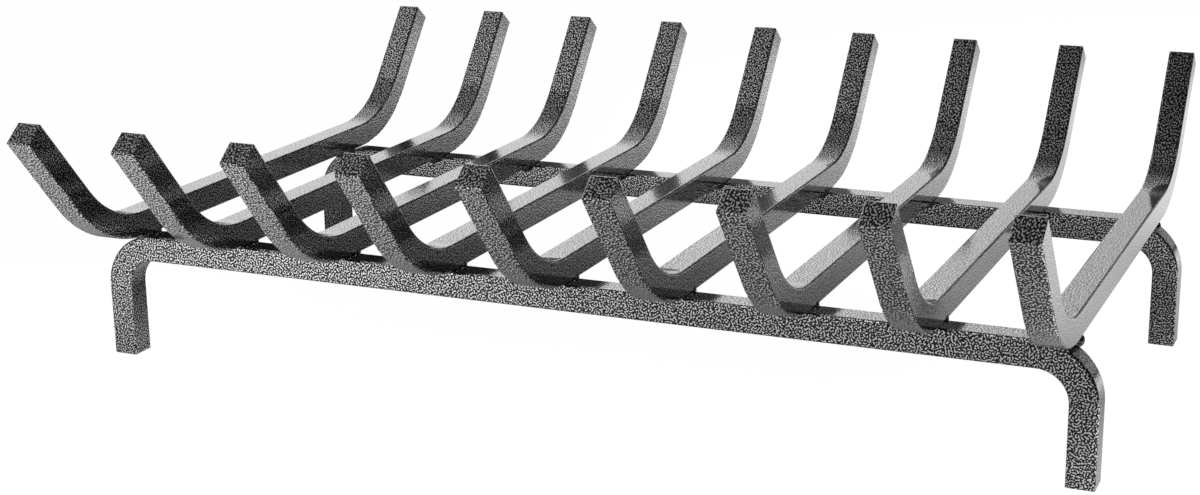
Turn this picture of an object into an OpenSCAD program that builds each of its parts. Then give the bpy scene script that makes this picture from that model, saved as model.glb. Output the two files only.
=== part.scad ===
/* [Bar stock] */
// Side of the square steel bar that every log bar and leg rail is bent from
bar_side = 16; // [14:0.5:20]
// Radius along the four long edges of the rolled bar
bar_edge_radius = 1.2; // [0.6:0.2:2]
// Size of the bevel ground round every sawn end
end_bevel = 0.8; // [0.4:0.2:1.6]

/* [Log bars] */
// How many log bars lie across the two leg rails
bar_count = 9; // [5:1:11]
// Distance from the middle of one log bar to the middle of the next
bar_pitch = 72; // [60:1:90]
// Lean of the arms, measured up from the level part of the bar
arm_angle = 51; // [35:1:70]
// Inside radius of the bend between the level part and an arm
arm_bend_radius = 66; // [50:1:90]
// Length of the straight part of an arm above its bend
arm_length = 63; // [40:1:90]
// How far the level part runs past the middle of a leg rail before it bends up
bend_setback = 5; // [2:0.5:10]

/* [Leg rails] */
// Distance from the middle of the front leg rail to the middle of the rear one
rail_spacing = 256; // [220:1:320]
// Height of the top of the leg rails above the floor
rail_height = 79.5; // [65:0.5:110]
// Inside radius of the bend between a rail and its leg
leg_bend_radius = 18; // [12:0.5:24]
// How far the outer face of a leg stands out past the side of the last log bar
leg_overhang = 13; // [8:0.5:24]

/* [Welds] */
// Radius of the weld beads that lie in the corners between the log bars and the leg rails
weld_radius = 4.5; // [3:0.25:5.5]
// How far a weld bead runs out past each side of its log bar
weld_reach = 1.2; // [0.6:0.2:2]

/* [Hidden] */
// Colour of the powder coat
coat_colour = [0.3, 0.3, 0.31];
// How far a cutter runs past the face that it cuts
overrun = 1;
// How far a straight end runs back into its bend, and how far its sides sit inside the
// bend's sides there, so that the two join as one solid
seam_overlap = 0.5;
seam_inset = 0.01;
// Half of the bar side, used for every place measured from a bar's middle
half_bar = bar_side / 2;
// Height of the middle of the log bars' level parts
log_bar_height = rail_height + half_bar;
// Bend radii at the middle of the bar
arm_middle_radius = arm_bend_radius + half_bar;
leg_middle_radius = leg_bend_radius + half_bar;
// Half of the level length of a log bar, out to where its bend begins
half_level = rail_spacing / 2 + bend_setback;
// Sideways place of the last log bar's middle
last_bar_x = (bar_count - 1) / 2 * bar_pitch;
// Sideways place of the legs' outer faces
leg_face_x = last_bar_x + half_bar + leg_overhang;
// Sideways place where a rail begins to bend down into its leg
leg_bend_x = leg_face_x - bar_side - leg_bend_radius;
// Outside radius of the bend between a rail and its leg
leg_outside_radius = leg_bend_radius + bar_side;
// Straight length of a leg below its bend
leg_length = rail_height - leg_outside_radius;
// Distance from the middle of the grate to the inner faces of the leg rails
rail_inner_y = rail_spacing / 2 - half_bar;
// Smoothness of the small rounds and of the bends
round_fn = 32;
bend_fn = 128;

// Sideways place of the middle of log bar i, counted from the left
function bar_x(i) = (i - 1) * bar_pitch - last_bar_x;

// How far a rail's top has fallen away at a sideways distance from its middle
function rail_drop(x) =
  let (past_bend_start = max(0, abs(x) - leg_bend_x))
  leg_outside_radius - sqrt(leg_outside_radius ^ 2 - past_bend_start ^ 2);

// Rolled square bar seen end on: two crossed slabs with a round in each corner
module bar_section(inset = 0) {
  full_width = bar_side - 2 * inset;
  flat_width = full_width - 2 * bar_edge_radius;
  square([full_width, flat_width], center = true);
  square([flat_width, full_width], center = true);
  for (x = [-1, 1], y = [-1, 1])
    translate([x, y] * flat_width / 2)
      circle(r = bar_edge_radius, $fn = round_fn);
}

// Straight run of bar that rises from the origin
module straight_run(length, inset = 0) {
  linear_extrude(height = length)
    bar_section(inset);
}

// Bend that starts upward at the origin and curves toward +X
module bend(radius, angle) {
  translate([radius, 0, 0])
    rotate([90, 0, 180])
      rotate_extrude(angle = angle, $fn = bend_fn)
        translate([radius, 0])
          bar_section();
}

// Carries its children to the far end of such a bend
module past_bend(radius, angle) {
  translate([radius * (1 - cos(angle)), 0, radius * sin(angle)])
    rotate([0, angle, 0])
      children();
}

// Straight run whose far end is sawn square and bevelled round its four edges
module bevelled_run(length) {
  bevel_depth = end_bevel / sqrt(2);
  cutter_width = bar_side + 2 * overrun;
  difference() {
    translate([0, 0, -seam_overlap])
      straight_run(length + seam_overlap, seam_inset);
    for (turn = [0 : 90 : 270])
      rotate([0, 0, turn])
        translate([half_bar, 0, length])
          rotate([0, 45, 0])
            translate([-half_bar, -cutter_width / 2, -bevel_depth])
              cube([bar_side, cutter_width, bar_side]);
  }
}

// One bar bent alike at both ends: a level middle, two bends and two straight ends
module bent_bar(half_middle, radius, angle, end_length) {
  for (turn = [0, 180])
    rotate([turn, 0, 0]) {
      straight_run(half_middle);
      translate([0, 0, half_middle]) {
        bend(radius, angle);
        past_bend(radius, angle)
          bevelled_run(end_length);
      }
    }
}

// Log bar i: runs front to back, with both arms leaning up and outward
module log_bar(i) {
  color(coat_colour)
    translate([bar_x(i), 0, log_bar_height])
      rotate([-90, -90, 0])
        bent_bar(half_level, arm_middle_radius, arm_angle, arm_length);
}

// Leg rail: runs side to side, with both ends bent down as legs. The side is -1 for the
// front rail and 1 for the rear one.
module leg_rail(side) {
  color(coat_colour)
    translate([0, side * rail_spacing / 2, rail_height - half_bar])
      rotate([0, 90, 0])
        bent_bar(leg_bend_x, leg_middle_radius, 90, leg_length);
}

// Height of the middle of the gap between the rails and the log bars at a sideways place
function gap_middle(x) = rail_height - rail_drop(x) / 2;

// Round-ended bead of weld metal that lies side to side
module bead() {
  straight_length = bar_side + 2 * (weld_reach - weld_radius);
  rotate([0, 90, 0])
    cylinder(r = weld_radius, h = straight_length, center = true, $fn = round_fn);
  for (end = [-1, 1])
    translate([end * straight_length / 2, 0, 0])
      sphere(r = weld_radius, $fn = round_fn);
}

// Weld under log bar i, in the corner that the bar makes with the inner face of a leg rail,
// cut to fit against both. It slopes with the gap where the rail falls away below an end bar.
// The side is -1 at the front rail and 1 at the rear one.
module weld(i, side) {
  left_height = gap_middle(bar_x(i) - half_bar);
  right_height = gap_middle(bar_x(i) + half_bar);
  color(coat_colour)
    difference() {
      translate([bar_x(i), side * rail_inner_y, (left_height + right_height) / 2])
        rotate([0, atan2(left_height - right_height, bar_side), 0])
          bead();
      log_bar(i);
      leg_rail(side);
    }
}

for (i = [1 : bar_count]) {
  log_bar(i);
  weld(i, -1);
  weld(i, 1);
}
leg_rail(-1);  // front_leg_rail
leg_rail(1);  // rear_leg_rail
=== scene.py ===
import math
import random

import bpy
from mathutils import Matrix, Vector

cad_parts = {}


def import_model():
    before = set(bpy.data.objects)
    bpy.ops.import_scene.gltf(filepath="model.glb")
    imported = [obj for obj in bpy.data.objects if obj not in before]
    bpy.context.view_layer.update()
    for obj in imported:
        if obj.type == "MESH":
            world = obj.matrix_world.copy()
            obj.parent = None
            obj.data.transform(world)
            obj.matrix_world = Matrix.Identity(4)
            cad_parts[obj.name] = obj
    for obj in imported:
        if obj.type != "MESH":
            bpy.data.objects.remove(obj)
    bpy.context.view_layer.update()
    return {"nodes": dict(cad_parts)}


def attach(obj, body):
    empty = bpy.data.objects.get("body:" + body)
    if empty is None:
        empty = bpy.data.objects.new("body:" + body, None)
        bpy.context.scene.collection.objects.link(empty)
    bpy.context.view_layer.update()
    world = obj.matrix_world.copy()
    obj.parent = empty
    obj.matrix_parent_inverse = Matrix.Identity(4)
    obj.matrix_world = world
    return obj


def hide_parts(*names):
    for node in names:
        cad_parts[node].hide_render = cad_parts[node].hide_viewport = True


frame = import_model()
scene = bpy.context.scene
nodes = frame["nodes"]

# Camera, solved from points read off the photograph
camera_place = Vector((0.4800, -1.1450, 0.4148))
camera_yaw = math.radians(24.05)
camera_pitch = math.radians(15.72)
camera_roll = math.radians(-0.785)
sensor_width = 36.0
focal_pixels = 2055.5
photo_width = 1200

# Sizes of the welds and of what they join, the same as the model's
bar_side = 0.016
half_bar = bar_side / 2
bar_pitch = 0.072
bar_count = 9
last_bar_x = (bar_count - 1) / 2 * bar_pitch
rail_spacing = 0.256
rail_inner_y = rail_spacing / 2 - half_bar
rail_height = 0.0795
leg_bend_radius = 0.018
leg_overhang = 0.013
leg_outside_radius = leg_bend_radius + bar_side
leg_bend_x = last_bar_x + half_bar + leg_overhang - leg_outside_radius
weld_radius = 0.0045
weld_reach = 0.0012

# How finely a laid weld bead is meshed
bead_mesh_size = 0.00035
# What lies farther from a bead's middle line than this share of its radius is on its round
# surface, which alone is pressed in
round_surface_share = 0.9
# How far the ripples of a bead have bowed back one radian round from its crest, and how deep
# its slow sags are
ripple_bow = 0.0012
sag_depth = 0.0003


# Empty material with nodes
def new_material(name):
    material = bpy.data.materials.new(name)
    material.use_nodes = True
    tree = material.node_tree
    tree.nodes.clear()
    return material, tree


# New node with its own settings
def add_node(tree, kind, **values):
    node = tree.nodes.new(kind)
    for name, value in values.items():
        setattr(node, name, value)
    return node


# Sets a node's inputs by name, with _ for each space
def set_inputs(node, **values):
    for name, value in values.items():
        node.inputs[name.replace("_", " ")].default_value = value


# Grey that runs between two stops, each a value of the source and its grey
def ramp(tree, source, stops):
    node = add_node(tree, "ShaderNodeValToRGB")
    for element, (value, grey) in zip(node.color_ramp.elements, stops):
        element.position = value
        element.color = (grey, grey, grey, 1)
    tree.links.new(source, node.inputs["Fac"])
    return node


# 1 where a number is above a limit, else 0
def is_above(tree, number, limit):
    node = add_node(tree, "ShaderNodeMath", operation="GREATER_THAN")
    tree.links.new(number, node.inputs[0])
    node.inputs[1].default_value = limit
    return node.outputs["Value"]


# The second number where the choice is 1, else the first
def pick(tree, choice, first, second):
    node = add_node(tree, "ShaderNodeMix", data_type="FLOAT")
    tree.links.new(choice, node.inputs["Factor"])
    tree.links.new(first, node.inputs["A"])
    tree.links.new(second, node.inputs["B"])
    return node.outputs["Result"]


# Place on each face as seen flat from its nearest side: from the right or left, from above
# or below, or else from the front or back. A flat pattern laid by it covers level and upright
# faces evenly. On slanting faces it is stretched by up to 1.4 times, and on parts of the edge
# rounds by more.
def face_place(tree, coordinates):
    size = add_node(tree, "ShaderNodeVectorMath", operation="ABSOLUTE")
    tree.links.new(coordinates.outputs["Normal"], size.inputs[0])
    facing = add_node(tree, "ShaderNodeSeparateXYZ")
    tree.links.new(size.outputs["Vector"], facing.inputs[0])
    at = add_node(tree, "ShaderNodeSeparateXYZ")
    tree.links.new(coordinates.outputs["Object"], at.inputs[0])
    halfway = math.sqrt(0.5)
    faces_side = is_above(tree, facing.outputs["X"], halfway)
    faces_up = is_above(tree, facing.outputs["Z"], halfway)
    flat = add_node(tree, "ShaderNodeCombineXYZ")
    across = pick(tree, faces_side, at.outputs["X"], at.outputs["Y"])
    along = pick(tree, faces_up, at.outputs["Z"], at.outputs["Y"])
    tree.links.new(across, flat.inputs["X"])
    tree.links.new(along, flat.inputs["Y"])
    return flat.outputs["Vector"]


# Small soft lumps of a coat, as a bent normal
def lumps(tree, coordinates, lumps_per_metre, height, strength):
    swell = add_node(tree, "ShaderNodeTexNoise", noise_dimensions="3D")
    set_inputs(swell, Scale=lumps_per_metre, Detail=0.0)
    tree.links.new(coordinates.outputs["Object"], swell.inputs["Vector"])
    bump = add_node(tree, "ShaderNodeBump")
    set_inputs(bump, Strength=strength, Distance=height)
    tree.links.new(swell.outputs["Fac"], bump.inputs["Height"])
    return bump.outputs["Normal"]


# Metal of a given grey under a clear skin, as the whole look of a material
def coated_metal(tree, colour, normal, roughness, skin_roughness):
    shader = add_node(tree, "ShaderNodeBsdfPrincipled")
    set_inputs(shader, Metallic=1.0, Roughness=roughness)
    set_inputs(shader, Coat_Weight=1.0, Coat_Roughness=skin_roughness, Coat_IOR=1.5)
    tree.links.new(colour.outputs["Color"], shader.inputs["Base Color"])
    tree.links.new(normal, shader.inputs["Normal"])
    tree.links.new(normal, shader.inputs["Coat Normal"])
    output = add_node(tree, "ShaderNodeOutputMaterial")
    tree.links.new(shader.outputs["BSDF"], output.inputs["Surface"])


# Hammertone powder coat: silver veins under two millimetres apart with black between them,
# under a smooth, slightly lumpy clear skin
def hammertone_coat():
    material, tree = new_material("hammertone_coat")
    coordinates = add_node(tree, "ShaderNodeTexCoord")
    veins = add_node(tree, "ShaderNodeTexGabor", gabor_type="2D")
    set_inputs(veins, Scale=500.0, Frequency=1.2, Anisotropy=0.0)
    tree.links.new(face_place(tree, coordinates), veins.inputs["Vector"])
    colour = ramp(tree, veins.outputs["Value"], [(0.525, 0.0), (0.575, 1.0)])
    normal = lumps(tree, coordinates, lumps_per_metre=600.0, height=0.0002, strength=0.15)
    coated_metal(tree, colour, normal, roughness=0.12, skin_roughness=0.06)
    return material


# The coat where it has run over a weld, with fine silver specks in place of veins. Its near-black
# base is
# painted shade: it stands for the dark surroundings that the glossy weld lumps reflect under the
# bars.
def coated_weld():
    material, tree = new_material("coated_weld")
    coordinates = add_node(tree, "ShaderNodeTexCoord")
    specks = add_node(tree, "ShaderNodeTexVoronoi", voronoi_dimensions="3D", feature="F1")
    set_inputs(specks, Scale=1300.0, Randomness=1.0)
    tree.links.new(coordinates.outputs["Object"], specks.inputs["Vector"])
    # Near black between the specks: painted shade for the dark reflections round the welds
    colour = ramp(tree, specks.outputs["Distance"], [(0.3, 0.7), (0.38, 0.02)])
    normal = lumps(tree, coordinates, lumps_per_metre=700.0, height=0.0002, strength=0.5)
    coated_metal(tree, colour, normal, roughness=0.25, skin_roughness=0.08)
    return material


# The two materials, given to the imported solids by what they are
coat = hammertone_coat()
shaded_weld_paint = coated_weld()
for name, cad_object in nodes.items():
    material = shaded_weld_paint if "weld" in name else coat
    if not cad_object.material_slots:
        cad_object.data.materials.append(material)
    for slot in cad_object.material_slots:
        slot.material = material


# Height of the middle of the gap between a rail and the log bars at a sideways place
def gap_middle(x):
    past_bend_start = max(0.0, abs(x) - leg_bend_x)
    drop = leg_outside_radius - math.sqrt(leg_outside_radius ** 2 - past_bend_start ** 2)
    return rail_height - drop / 2


# Copy of a mesh, remade of small even faces
def even_copy(mesh):
    rough = bpy.data.objects.new("rough_bead", mesh.copy())
    scene.collection.objects.link(rough)
    even = rough.modifiers.new("even", "REMESH")
    even.mode = "VOXEL"
    even.voxel_size = bead_mesh_size
    bpy.context.view_layer.update()
    finished = rough.evaluated_get(bpy.context.evaluated_depsgraph_get())
    copy = bpy.data.meshes.new_from_object(finished)
    bpy.data.objects.remove(rough)
    return copy


# Wave from 0 to 1 that has its crest wherever the count of turns is whole
def wave(turns):
    return 0.5 + 0.5 * math.cos(2 * math.pi * turns)


# Hand-laid bead: the plain bead, evenly meshed and then pressed in between its ripples, so
# that it stays inside the plain one. The side is -1 at the front rail and 1 at the rear one.
def laid_bead(name, i, side):
    chance = random.Random(name)
    ripple_pitch = chance.uniform(0.0014, 0.0018)
    ripple_depth = chance.uniform(0.0003, 0.0004)
    ripple_start = chance.uniform(0.0, ripple_pitch)
    travel = chance.choice((-1, 1))
    sag_length = chance.uniform(0.009, 0.013)
    sag_start = chance.uniform(0.0, 1.0)

    bar_x = (i - 1) * bar_pitch - last_bar_x
    left = Vector((bar_x - half_bar, side * rail_inner_y, gap_middle(bar_x - half_bar)))
    right = Vector((bar_x + half_bar, side * rail_inner_y, gap_middle(bar_x + half_bar)))
    along = (right - left).normalized()
    middle = (left + right) / 2
    half_run = half_bar + weld_reach - weld_radius
    crest = Vector((0, -side, -1)).normalized()

    mesh = even_copy(nodes[name].data)
    for vertex in mesh.vertices:
        run = (vertex.co - middle).dot(along)
        nearest = middle + along * max(-half_run, min(half_run, run))
        out = vertex.co - nearest
        if out.length < weld_radius * round_surface_share:
            continue
        turn = out.normalized().angle(crest)
        place = travel * run + ripple_start + ripple_bow * turn ** 2
        ripple = ripple_depth * wave(place / ripple_pitch)
        sag = sag_depth * wave(run / sag_length + sag_start)
        vertex.co = nearest + out * (1 - (ripple + sag) / weld_radius)
    for face in mesh.polygons:
        face.use_smooth = True
    mesh.materials.clear()
    mesh.materials.append(shaded_weld_paint)
    bead = bpy.data.objects.new("laid_" + name, mesh)
    scene.collection.objects.link(bead)
    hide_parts(name)
    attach(bead, "root")


for i in range(1, bar_count + 1):
    laid_bead(f"front_weld_{i}", i, -1)
    laid_bead(f"rear_weld_{i}", i, 1)


# Light in the air round the grate, which its reflections see and the camera doesn't. Another
# program fitted these brightnesses, and those of the floor patches, to the greys of the faces
# in the photograph. Places and sizes were picked for that fit. They stand for no known lamps.
# Each patch: compass angle from the right, turning to the back, height angle and half width,
# in degrees, then brightness.
sky_patches = [
    # Behind, to the left, upper and lower
    (120, 26, 24, 0.53),
    (120, 6, 20, 0.58),
    # Left, high up
    (180, 50, 28, 0.27),
    # In front, to the left of the camera, upper and lower
    (240, 26, 24, 1.07),
    (240, 6, 20, 0.3),
    # Behind, a little to the right, low
    (74, 4, 10, 0.35),
    # Right, high up
    (10, 42, 14, 0.25),
]
# Light from the floor, which the camera sees only faintly. Each patch: sideways place, front
# to back place and radius, in metres, then brightness.
floor_patches = [
    # Behind the grate, to the right
    (0.3, 0.8, 0.4, 0.78),
    (0.45, 0.45, 0.15, 0.46),
    # Beside the grate, on the right, from back to front
    (0.45, 0.2, 0.14, 0.58),
    (0.5, 0, 0.25, 0.27),
    (0.42, -0.15, 0.12, 0.59),
    # Just behind the grate
    (0.15, 0.3, 0.13, 0.12),
    # In front of the grate, from right to left
    (0.3, -0.35, 0.25, 0.15),
    (0, -0.35, 0.25, 0.31),
    (-0.35, -0.35, 0.25, 0.69),
    (-0.9, -1.0, 0.6, 0.73),
    (-1.6, -2.8, 1.2, 0.8),
]
# Faint even light that is added to the patches, in the sky and on the floor alike
room_brightness = 0.04
# How many times its half width or radius a patch reaches before it has faded out
fade_reach = 1.7
# The floor's size and smoothness, and the grey of its paper
floor_radius = 12.0
floor_sides = 96
paper_grey = 0.3
# The even white that the camera sees on the floor, and its share in what the camera sees
white_brightness = 1.15
white_share = 0.85


# Adds up soft round patches: each is full at its middle and fades smoothly to nothing, or
# the first to the brightness of the room
def add_patches(tree, place, patches, measure):
    total = None
    for middle, edge, full, brightness in patches:
        away = add_node(tree, "ShaderNodeVectorMath", operation=measure)
        tree.links.new(place, away.inputs[0])
        away.inputs[1].default_value = middle
        fade = add_node(tree, "ShaderNodeMapRange", interpolation_type="SMOOTHSTEP")
        low = room_brightness if total is None else 0.0
        set_inputs(fade, From_Min=edge, From_Max=full, To_Min=low, To_Max=low + brightness)
        tree.links.new(away.outputs["Value"], fade.inputs["Value"])
        if total is None:
            total = fade.outputs["Result"]
        else:
            both = add_node(tree, "ShaderNodeMath", operation="ADD")
            tree.links.new(total, both.inputs[0])
            tree.links.new(fade.outputs["Result"], both.inputs[1])
            total = both.outputs["Value"]
    return total


# Floor: white sheet that the camera sees almost evenly lit, while the coat's reflections see
# the fitted patches on it
def floor():
    bpy.ops.mesh.primitive_circle_add(vertices=floor_sides, radius=floor_radius, fill_type="NGON")
    disc = bpy.context.object
    disc.name = "floor"
    material, tree = new_material("floor_white")
    place = add_node(tree, "ShaderNodeTexCoord")
    patches = []
    for x, y, radius, brightness in floor_patches:
        patches.append(((x, y, 0), fade_reach * radius, 0.0, brightness))
    lit = add_patches(tree, place.outputs["Object"], patches, "DISTANCE")
    paper = add_node(tree, "ShaderNodeBsdfPrincipled")
    set_inputs(paper, Base_Color=(paper_grey, paper_grey, paper_grey, 1), Roughness=1.0)
    set_inputs(paper, Specular_IOR_Level=0.0, Emission_Color=(1, 1, 1, 1))
    tree.links.new(lit, paper.inputs["Emission Strength"])
    glow = add_node(tree, "ShaderNodeEmission")
    set_inputs(glow, Color=(1, 1, 1, 1), Strength=white_brightness)
    rays = add_node(tree, "ShaderNodeLightPath")
    share = add_node(tree, "ShaderNodeMath", operation="MULTIPLY")
    share.inputs[1].default_value = white_share
    tree.links.new(rays.outputs["Is Camera Ray"], share.inputs[0])
    choose = add_node(tree, "ShaderNodeMixShader")
    tree.links.new(share.outputs["Value"], choose.inputs[0])
    tree.links.new(paper.outputs["BSDF"], choose.inputs[1])
    tree.links.new(glow.outputs["Emission"], choose.inputs[2])
    output = add_node(tree, "ShaderNodeOutputMaterial")
    tree.links.new(choose.outputs["Shader"], output.inputs["Surface"])
    disc.data.materials.append(material)


floor()


# World: the sky patches and the faint even light, and plain white for the camera
def world():
    studio = bpy.data.worlds.new("studio")
    scene.world = studio
    studio.use_nodes = True
    tree = studio.node_tree
    tree.nodes.clear()
    place = add_node(tree, "ShaderNodeTexCoord")
    patches = []
    for compass, height, half_width, brightness in sky_patches:
        turn = math.radians(compass)
        rise = math.radians(height)
        middle = (math.cos(turn) * math.cos(rise), math.sin(turn) * math.cos(rise), math.sin(rise))
        edge = math.cos(fade_reach * math.radians(half_width))
        patches.append((middle, edge, 1.0, brightness))
    lit = add_patches(tree, place.outputs["Generated"], patches, "DOT_PRODUCT")
    light = add_node(tree, "ShaderNodeBackground")
    tree.links.new(lit, light.inputs["Strength"])
    white = add_node(tree, "ShaderNodeBackground")
    set_inputs(white, Color=(1, 1, 1, 1), Strength=1.0)
    rays = add_node(tree, "ShaderNodeLightPath")
    choose = add_node(tree, "ShaderNodeMixShader")
    tree.links.new(rays.outputs["Is Camera Ray"], choose.inputs[0])
    tree.links.new(light.outputs["Background"], choose.inputs[1])
    tree.links.new(white.outputs["Background"], choose.inputs[2])
    output = add_node(tree, "ShaderNodeOutputWorld")
    tree.links.new(choose.outputs["Shader"], output.inputs["Surface"])


world()


# Camera at the photograph's place, with its direction, tilt and lens
def camera():
    forward = Vector((
        -math.sin(camera_yaw) * math.cos(camera_pitch),
        math.cos(camera_yaw) * math.cos(camera_pitch),
        -math.sin(camera_pitch),
    ))
    level_right = Vector((math.cos(camera_yaw), math.sin(camera_yaw), 0))
    level_up = level_right.cross(forward)
    right = math.cos(camera_roll) * level_right + math.sin(camera_roll) * level_up
    up = -math.sin(camera_roll) * level_right + math.cos(camera_roll) * level_up
    data = bpy.data.cameras.new("camera")
    data.sensor_fit = "HORIZONTAL"
    data.sensor_width = sensor_width
    data.lens = focal_pixels / photo_width * sensor_width
    viewer = bpy.data.objects.new("camera", data)
    scene.collection.objects.link(viewer)
    turn = Matrix((right, up, -forward)).transposed()
    viewer.matrix_world = Matrix.Translation(camera_place) @ turn.to_4x4()
    scene.camera = viewer


camera()
scene.view_settings.view_transform = "Standard"
